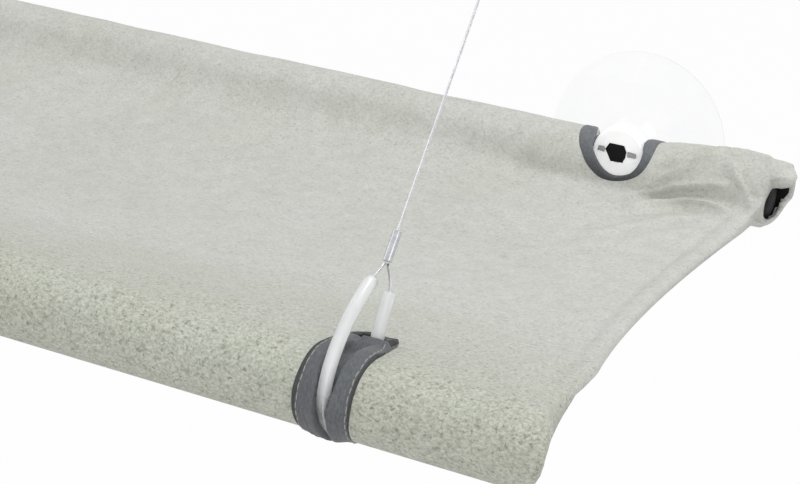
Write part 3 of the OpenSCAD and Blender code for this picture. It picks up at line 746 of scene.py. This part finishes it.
def make_cover():
    upper, lower = felt_face(True), felt_face(False)
    for p, q in zip(upper, lower):
        q[0], q[-1] = p[0], p[-1]
    co = [np.stack([x, y + PIN_Y, z + RAIL_Z], 2).reshape(-1, 3) for x, y, z in (upper, lower)]
    o = mesh("felt_cover", np.vstack(co), layer_faces(*upper[0].shape))
    face_outward(o, weld=0.00001)
    cut(o, join([front_bore(), rear_bore()], "bores"))
    cuts, later = [], []
    for side, _ in SIDES:
        # The mouth's front and back parts overlap a little behind the rail's axis
        cuts.append(prism("mouth", mouth_outline(side), PIN_Y - 30, PIN_Y + 3.05))
        later.append(prism("mouth", rear_outline(side), PIN_Y + 3.0, PIN_Y + 30))
        lo, hi = side * CABLE_X - SLOT_HALF, side * CABLE_X + SLOT_HALF
        cuts.append(block("slot", (lo, FRONT_Y - 30, RAIL_Z - 30), (hi, FRONT_Y + ROLL_R, RAIL_Z + 30)))
        later.append(hole_cutter(side))
        cuts += spreader_windows(side * SPREADER_X)
    cut(o, join(cuts, "cuts"))
    cut(o, join(later, "later"))
    make_smooth(o)
    # The black inside the open ends is painted shade
    paint_mouth_shade(paint(o, FELT_MAT, BLACK_PLASTIC_AND_SHADE_MAT))
    return o


def paint_mouth_shade(o):
    # Painted shade: inside, the open ends are painted black down to the pinched wall
    for p in o.data.polygons:
        x, y, z = p.center / MM
        dy, dz = y - PIN_Y, z - RAIL_Z
        faces_in = dy * p.normal.y + dz * p.normal.z < 0 and abs(p.normal.x) < 0.5
        sine = dz / BORE_R
        deep = mouth_shade_depth(sine if sine > 0 else sine / pinch(x)) - 0.05
        if BORE_X[0] < abs(x) < deep and math.hypot(dy, dz) < BORE_R + 0.25 and faces_in:
            p.material_index = 1


cover = make_cover()
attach(cover, "bed")
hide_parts("felt_bed", "rear_sleeve", "front_sleeve")


# Tape folded over the edge of each cup's mouth
def tape_edge(k, half, base, corner):
    # One edge of the tape, from MOUTH's columns k and k + 1, as x from the cup and length round the roll: the
    # mouth, then one arm down the back to base, the floor with its rounded corners, and the other arm
    line = [(p[k], ROLL_R * math.radians(p[k + 1])) for p in smooth_curve(MOUTH, 5)[::-1]]
    (left, _), (right, top) = line[0], line[-1]
    arm, quarter = np.linspace(0, 1, 26), np.radians(np.linspace(0, 90, 8))
    for q in arm[1:]:
        line.append((right + (half + corner - right) * min(1, 3 * q), top + (base - top) * q))
    for q in quarter[1:]:
        line.append((half + corner * math.cos(q), base + corner * math.sin(q)))
    for q in np.linspace(0, 1, 12)[1:-1]:
        line.append((half - 2 * half * q, base + corner))
    for q in np.pi / 2 + quarter[:-1]:
        line.append((-half + corner * math.cos(q), base + corner * math.sin(q)))
    for q in arm[:0:-1]:
        line.append((left - (half + corner + left) * min(1, 3 * q), top + (base - top) * q))
    return np.array(line)


# The tape's section: share of the way from its outer to its inner edge, and radius
TAPE_SECTION = [
    (0, 13.6), (0, 14.1), (0.05, 14.35), (0.16, 14.45), (0.5, 14.47), (0.85, 14.47), (0.96, 14.38),
    (1.02, 14.1), (1.02, 11.35), (0.9, 11.35), (0.9, 13.6),
]


def rear_tape(side, word):
    floor = ROLL_R * math.radians(212)
    inner, outer = tape_edge(2, 9.2, floor - 5, 5), tape_edge(0, 11.8, floor - 4, 7)
    rings = []
    for share, r in TAPE_SECTION:
        p = outer + (inner - outer) * share
        a = p[:, 1] / ROLL_R
        rings.append(np.stack([side * (CUP_X + p[:, 0]), PIN_Y - r * np.cos(a), RAIL_Z + r * np.sin(a)], 1))
    co = np.stack(rings, 1).reshape(-1, 3)
    faces = grid_faces(len(inner), len(TAPE_SECTION), wrap_rows=True, wrap_cols=True)
    o = mesh(f"mouth_tape_{word}", co, faces)
    face_outward(o)
    paint(o, SHADED_MOUTH_TAPE_MAT)
    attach(o, "bed")
    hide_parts(f"rear_binding_{word}")
    return o


# The sewn facing of the front slot: a strip on each side of the tube, worked as one sheet with a groove.
# s is 0 at the front roll's foremost line and more over the top
PAD_LOW, PAD_TOP = -37.0, 49.0
PAD_LEFT = [
    (-37, -9), (-22, -10), (-11, -10.8), (-5, -11.6), (4, -12.1), (18, -11.6), (30, -11.6), (36, -11.4),
    (41, -11), (45, -9.4), (49, -6),
]
PAD_RIGHT = [
    (-37, 7.6), (-20, 8), (-5.4, 8.4), (2.5, 9), (14, 9), (22, 9.1), (30, 8.4), (38, 7.6), (43, 7.2), (49, 5),
]
TUBE_X = [(-37, 0.9), (-24, 0.4), (-11, -0.2), (0, -0.6), (20, -0.8), (46, -0.8)]
GROOVE = [(-40, 0.4), (-16, 0.5), (-9, 0.9), (-3, 1.3), (5, 2.2), (14, 2.6), (30, 2.8), (34, 3.4), (46, 4)]
SWELL = [(-40, 0.2), (-24, 0.2), (-14, 0.5), (-6, 1.7), (0, 2.1), (6, 1.3), (18, 0.7), (30, 0.5), (46, 0.3)]
PAD_BELOW = [(-10, 0.7), (-7, 1.2), (-4, 1.8), (-1, 2.1), (2, 1.5), (5, 0.6), (8, 0.25)]


def pad_height(x, s):
    # Height of the facing over the roll
    q = x - at(TUBE_X, s)
    gap = at(GROOVE, s)
    h = 1.0 + at(SWELL, s) * np.exp(-((np.abs(q) - gap - 1.5) / 2.5) ** 2)
    low = np.clip((-5 - s) / 9, 0, 1)
    h = h * (1 - low) + low * at(PAD_BELOW, x)
    # Fine ribs beside the left edge, unevenness, and the ridge behind the tube
    ribs = 0.22 * np.cos(2 * np.pi * (x + 5.2) / 1.9) * np.exp(-((x + 5.6) / 1.9) ** 2)
    h = h + ribs * np.clip((24 - s) / 10, 0, 1)
    h = h + 0.12 * np.sin(s / 2.3 + x / 2.0) + 0.1 * np.sin(s / 4.1 - x / 1.3)
    behind = np.clip((x + 3.4) / 1.6, 0, 1) * np.clip((8.2 - x) / 1.2, 0, 1)
    h = h + 2.0 * np.exp(-((s - 35.2) / 1.5) ** 2) * behind
    open_part = np.clip((33 - s) / 3, 0, 1) * np.clip((s + 18) / 4, 0, 1)
    g = np.clip((np.abs(q) - gap) / 0.9, 0, 1)
    g = 1 - (1 - g * g * (3 - 2 * g)) * open_part
    return h * g - 1.9 * (1 - g)


def on_front_roll(side, x, s, h):
    # Points at x from the slot, s round the front roll and h over it, straight on beyond its tangents
    s = np.asarray(s, float)
    hi, lo = ROLL_R * (np.pi - TIP_TURN - TANGENT), -ROLL_R * (np.pi + TIP_TURN - TANGENT)
    a = np.clip(s, lo, hi) / ROLL_R
    ny, nz = -np.cos(a), np.sin(a)
    run = np.where(s > hi, s - hi, np.where(s < lo, s - lo, 0))
    y, z = ROLL_R * ny + run * nz, ROLL_R * nz - run * ny
    return np.stack([side * CABLE_X + x, FRONT_Y + y + ny * h, RAIL_Z + z + nz * h], -1)


def slot_facing(side, word):
    cols, rows = ((78, 150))
    s = np.linspace(PAD_LOW, PAD_TOP, rows)[:, None]
    f = np.linspace(0, 1, cols)
    f = (1 - np.cos(np.pi * f)) / 2 * 0.25 + f * 0.75
    lo, hi = at(PAD_LEFT, s), at(PAD_RIGHT, s)
    x = lo + (hi - lo) * f[None, :]
    h = pad_height(x, s)
    d = np.minimum(np.minimum(x - lo, hi - x), np.minimum(s - PAD_LOW, PAD_TOP - s))
    rounding = np.sqrt(np.clip(1 - (1 - np.clip(d / 0.9, 0, 1)) ** 2, 0, 1))
    layers = (-0.3 + (h + 0.3) * rounding, np.minimum(-0.35, h - 1.3))
    co = [on_front_roll(side, x, s, k).reshape(-1, 3) for k in layers]
    faces = layer_faces(rows, cols)
    n = rows * cols
    for j in range(cols - 1):
        for k in (j, n - cols + j):
            faces.append([k, k + 1, n + k + 1, n + k])
    o = mesh(f"slot_facing_{word}", np.vstack(co), faces)
    face_outward(o)
    cut(o, hole_cutter(side))
    make_smooth(o)
    paint(o, TAPE_MAT, RIM_MAT)
    for p in o.data.polygons:
        off = p.center.x / MM - side * CABLE_X
        if off < -10.1 or off > 8.15 or p.center.y / MM > FRONT_Y + HOLE_Y + 2.6:
            p.material_index = 1
    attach(o, "bed")
    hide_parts(f"front_binding_{word}")
    return o


def hole_lining(side, word):
    ring, wall = hole_outline(side, 0.3), hole_outline(side, -0.5)
    n = len(ring)
    co = [(x, y, RAIL_Z + z) for outline, z in ((ring, 10.4), (wall, 10.4), (wall, -1), (ring, -1.4))
          for x, y in outline]
    faces = grid_faces(4, n, wrap_cols=True) + [list(range(2 * n, 3 * n)), list(range(3 * n, 4 * n))[::-1]]
    o = mesh(f"hole_lining_{word}", co, faces, smooth=False)
    face_outward(o)
    return paint(o, BLACK_PLASTIC_AND_SHADE_MAT)


# Rows of stitches: x and the two ends in s
STITCH_ROWS = ((-9.7, -16.0, 34.0), (7.7, -16.0, 33.5))
THREAD_STEPS = np.linspace(0, 1, 7)


def slot_stitching(side, word):
    parts = []
    arch = 0.16 * np.sin(np.pi * THREAD_STEPS) - 0.06
    r = 0.17 * np.sin(np.pi * np.linspace(0.09, 0.91, 7)) ** 0.5
    for x, s, end in STITCH_ROWS:
        while s < end:
            length = 2.2 + 0.3 * math.sin(s * 1.7)
            run = np.linspace(s, s + length, 7)
            bend = np.where(run > 26, (run - 26) * (0.16 if x < 0 else -0.12), 0)
            off = x + 0.12 * np.sin(run * 0.9) + bend
            parts.append((on_front_roll(side, off, run, pad_height(off, run) + arch), r))
            s += length + 0.6
    return paint(closed_tubes(f"slot_stitching_{word}", parts), THREAD_MAT)


def slot_bartack(side, word):
    # A bar of dark thread that holds the facing's upper corner
    parts = []
    for k in range(9):
        x0, x1 = (3.9, 7.3) if k % 2 else (4.2, 7.0)
        s = 36.5 + 0.75 * k + 0.9 * THREAD_STEPS
        h = 1.25 + 0.5 * np.sin(np.pi * THREAD_STEPS)
        parts.append((on_front_roll(side, x0 + (x1 - x0) * THREAD_STEPS, s, h), 0.3))
    return paint(closed_tubes(f"slot_bartack_{word}", parts), RIM_MAT)


trims = []
for side, word in SIDES:
    trims.append(rear_tape(side, word))
    facing = slot_facing(side, word)
    extras = [hole_lining(side, word), slot_stitching(side, word), slot_bartack(side, word)]
    for o in extras:
        o.parent = facing
    trims += [facing] + extras

# The dark six-sided sleeve in each head's hole, seen through the clear plastic, and grey marks of painted
# shade at the ends
# of the cross hole: depth in the head, and outlines in x and z from the cup's axis
HEAD_FACE = PIN_Y - 4.5
HEAD_MARKS = (
    ("plug_sleeve", BLACK_PLASTIC_AND_SHADE_MAT, 0.5,
     [(-5.6, 1.4), (-4.0, 4.3), (2.6, 4.3), (4.1, 1.5), (2.9, -3.3), (-2.6, -3.6)]),
    # Grey marks of painted shade at the ends of the cross hole
    ("cross_hole_a", SHADE_MAT, 0.12,
     [(-9.4, 0.0), (-9.0, 2.2), (-6.3, 2.4), (-5.7, 1.2), (-6.1, -0.3)]),
    ("cross_hole_b", SHADE_MAT, 0.12,
     [(4.3, 1.1), (4.7, 2.1), (8.4, 1.9), (8.8, 0.4), (8.3, -0.4), (4.6, -0.5)]),
)
for side, word in SIDES:
    marks = []
    for name, mat, deep, outline in HEAD_MARKS:
        outline = [(side * CUP_X + x, z) for x, z in outline]
        marks.append(paint(prism(f"{name}_{word}", outline, HEAD_FACE - deep, HEAD_FACE + 0.3), mat))
    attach(marks[0], "window_side")
    for o in marks[1:]:
        o.parent = marks[0]

# CAD nodes that stay, with their finishes
FINISHES = (
    (COAT_MAT, ("rear_rail", "front_rail", "spreader")),
    (BLACK_PLASTIC_AND_SHADE_MAT, ("pin_blocks", "rear_end_cap", "front_end_cap", "rear_saddle", "front_saddle", "head_plug")),
    (PIN_MAT, ("cup_pin", "saddle_screws", "socket_screws")),
    (FERRULE_MAT, ("lower_ferrule", "upper_ferrule")),
    (CLEAR_MAT, ("upper_cup", "lower_cup")),
    (STEEL_MAT, ("upper_loop", "lower_loop", "cable")),
    (MILKY_MAT, ("loop_tube",)),
)
for mat, keys in FINISHES:
    for name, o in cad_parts.items():
        if name.replace("_left", "").replace("_right", "") in keys:
            paint(o, mat)

# Tubes, wires and cables. Routes round the front rail are given from its axis, at the slot's middle
TUBE_ROUTE = [
    (-0.8, 14.2, 34.4), (-0.8, 6, 30.2), (-0.8, -2, 24.4), (-0.8, -7.5, 18.6), (-0.8, -11.5, 12.3),
    (-0.7, -13.7, 6), (-0.6, -13.9, 0), (-0.4, -12.5, -5.6), (-0.2, -9.3, -10.2), (0, -4.7, -12.9),
    (0.2, 0.5, -13.7), (0.5, 5.6, -12.5), (0.8, 10, -9.4), (1.1, 12.9, -4.8), (1.3, 14.2, 1),
    (1.5, 15.4, 8), (1.7, 17.4, 16), (1.8, 20.4, 23), (1.8, 22.8, 27.6),
]
# The wire before and after the tube, and half of the loop on an upper cup's pin: x and length below the pin
LEAD = [(-0.4, 22.2, 37.6), (-0.5, 19.4, 36.6)]
TAIL = [(1.2, 23.6, 32), (0.4, 22.7, 37.2)]
LOOP_HALF = [(0.5, 40.6), (2.5, 36), (6, 27), (9.6, 18), (12.4, 10), (13.6, 5), (13.3, 2.2), (11.83, 1.53)]
WIRE_R, TUBE_IN, TUBE_OUT, TUBE_SIDES = 0.5, 1.0, 2.3, 20
WIRE_PITCH, CABLE_PITCH, CABLE_STEPS = 5.0, 7.0, 420
# A cable's line from the lower ferrule's foot to the upper pin, and the lengths at its ends that aren't cable
FOOT = np.array([0, FRONT_Y + 22.5, RAIL_Z + 37.8])
HEAD = np.array([0, PIN_Y, RISE])
LINE = float(np.linalg.norm(HEAD - FOOT))
UP = (HEAD - FOOT) / LINE
FOOT_PART, HEAD_PART = 10.8, 51.8


def squashed(co):
    # Under the rail the tube is pulled flat
    y, z = co[:, 1] - FRONT_Y, co[:, 2] - RAIL_Z
    d = np.hypot(y, z)
    k = 1 - 0.32 * np.clip((-2 - z) / 8, 0, 1)
    q = (RAIL_R + (d - RAIL_R) * k) / np.maximum(d, 1e-6)
    return np.stack([co[:, 0], FRONT_Y + y * q, RAIL_Z + z * q], 1)


def milky_tube(name, route):
    # An open tube with a wall, closed by a rim at both ends
    n, m = len(route), TUBE_SIDES
    layers = [squashed(tube_co(route, r, m)) for r in (TUBE_OUT, TUBE_IN)]
    faces = grid_faces(n, m, wrap_cols=True) + grid_faces(n, m, wrap_cols=True, start=n * m, flip=True)
    for row in (0, n - 1):
        for k in range(m):
            a, b = row * m + k, row * m + (k + 1) % m
            faces.append([a, b, b + n * m, a + n * m])
    o = mesh(name, np.vstack(layers), faces)
    face_outward(o)
    return paint(o, MILKY_MAT)


for side, word in SIDES:
    base = np.array([side * CABLE_X, FRONT_Y, RAIL_Z])
    aside = np.array([side * CABLE_X, 0, 0])

    tube = milky_tube(f"milky_tube_{word}", smooth_curve(TUBE_ROUTE, 6) + base)
    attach(tube, "bed")
    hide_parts(f"loop_tube_{word}")

    line = squashed(smooth_curve(LEAD + TUBE_ROUTE + TAIL, 8) + base)
    wire = paint(strands(f"loop_wire_{word}", line, WIRE_R, WIRE_PITCH), STEEL_MAT)
    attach(wire, "bed")
    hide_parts(f"lower_loop_{word}")

    low, high = FOOT + aside + UP * FOOT_PART, FOOT + aside + UP * (LINE - HEAD_PART)
    line = low + np.linspace(0, 1, CABLE_STEPS)[:, None] * (high - low)
    cable = paint(strands(f"steel_cable_{word}", line, WIRE_R, CABLE_PITCH), STEEL_MAT)
    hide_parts(f"cable_{word}")
    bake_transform(cable)

    legs = [[aside + FOOT + UP * (LINE - d) + np.array([turn * x, 0, 0]) for x, d in LOOP_HALF]
            for turn in (-1, 1)]
    line = smooth_curve(legs[0] + legs[1][::-1], 8)
    wire = paint(strands(f"top_wire_{word}", line, WIRE_R, WIRE_PITCH), STEEL_MAT)
    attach(wire, "window_side")
    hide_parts(f"upper_loop_{word}")

# Camera, from the fit of the photograph: metres, degrees, and pixels of a frame 800 wide
CAM_PLACE, CAM_AZ, CAM_EL, CAM_ROLL = (0.4683, -0.8095, 0.2648), 24.58, 20.98, 4.92
FOCAL_PX, FRAME_PX, SENSOR = 1979.36, 800, 36
cam = bpy.data.objects.new("camera", bpy.data.cameras.new("camera"))
bpy.context.scene.collection.objects.link(cam)
az, el, roll = (math.radians(v) for v in (CAM_AZ, CAM_EL, CAM_ROLL))
ahead = Vector((-math.sin(az) * math.cos(el), math.cos(az) * math.cos(el), -math.sin(el)))
level = ahead.cross(Vector((0, 0, 1))).normalized()
plumb = level.cross(ahead)
right = level * math.cos(roll) + plumb * math.sin(roll)
top = plumb * math.cos(roll) - level * math.sin(roll)
turned = Matrix((right, top, -ahead)).transposed().to_4x4()
cam.matrix_world = Matrix.Translation(CAM_PLACE) @ turned
cam.data.sensor_width = SENSOR
cam.data.lens = FOCAL_PX * SENSOR / FRAME_PX
cam.data.clip_start, cam.data.clip_end = 0.01, 50
bpy.context.scene.camera = cam


# Light
def white_when_seen(nt, shader, white_kind, out, share=None):
    # A shader that is plain white to the camera, to mirrors and through glass, and itself to all other light
    white = node(nt, white_kind)
    white.inputs["Color"].default_value = (1, 1, 1, 1)
    white.inputs["Strength"].default_value = 1.0
    path = node(nt, "ShaderNodeLightPath")
    seen = path.outputs["Is Camera Ray"]
    for ray in ("Is Glossy Ray", "Is Transmission Ray"):
        larger = node(nt, "ShaderNodeMath", operation="MAXIMUM")
        nt.links.new(seen, larger.inputs[0])
        nt.links.new(path.outputs[ray], larger.inputs[1])
        seen = larger.outputs[0]
    if share:
        part = node(nt, "ShaderNodeMath", operation="MULTIPLY")
        nt.links.new(seen, part.inputs[0])
        part.inputs[1].default_value = share
        seen = part.outputs[0]
    pick = node(nt, "ShaderNodeMixShader")
    nt.links.new(seen, pick.inputs["Fac"])
    nt.links.new(shader.outputs[0], pick.inputs[1])
    nt.links.new(white.outputs[0], pick.inputs[2])
    nt.links.new(pick.outputs[0], nt.nodes[out].inputs["Surface"])


def area(name, spot, aim, size, power):
    d = bpy.data.lights.new(name, "AREA")
    d.shape, d.size, d.energy = "SQUARE", size, power
    o = bpy.data.objects.new(name, d)
    bpy.context.scene.collection.objects.link(o)
    o.location = spot
    o.rotation_mode = "QUATERNION"
    o.rotation_quaternion = (Vector(aim) - Vector(spot)).to_track_quat("-Z", "Y")


scene = bpy.context.scene
scene.view_settings.view_transform = "Standard"
scene.world = bpy.data.worlds.new("studio")
scene.world.use_nodes = True
world_nodes = scene.world.node_tree
sky = world_nodes.nodes["Background"]
sky.inputs["Color"].default_value = (1.0, 1.0, 1.0, 1)
sky.inputs["Strength"].default_value = 0.57
white_when_seen(world_nodes, sky, "ShaderNodeBackground", "World Output")
area("key", (0.65, 0.1, 1.6), (0.05, -0.15, 0), size=0.7, power=11.5)
area("side", (-1.5, -1.2, 1.1), (0.0, -0.15, 0), size=1.2, power=3)
area("fill", (0.9, -1.7, 0.8), (0.0, -0.15, 0), size=1.2, power=10)

# Floor, almost white to the camera, so that it keeps the object's shadow
FLOOR_HALF, FLOOR_Z, FLOOR_WHITE = 4000, -620, 0.965
corners = [(x * FLOOR_HALF, y * FLOOR_HALF, FLOOR_Z) for x, y in ((-1, -1), (1, -1), (1, 1), (-1, 1))]
floor = mesh("floor", corners, [[0, 1, 2, 3]], smooth=False)
floor_mat, floor_nodes, floor_bsdf = material("floor")
floor_bsdf.inputs["Base Color"].default_value = (0.86, 0.86, 0.86, 1)
floor_bsdf.inputs["Roughness"].default_value = 0.9
white_when_seen(floor_nodes, floor_bsdf, "ShaderNodeEmission", "Material Output", FLOOR_WHITE)
paint(floor, floor_mat)
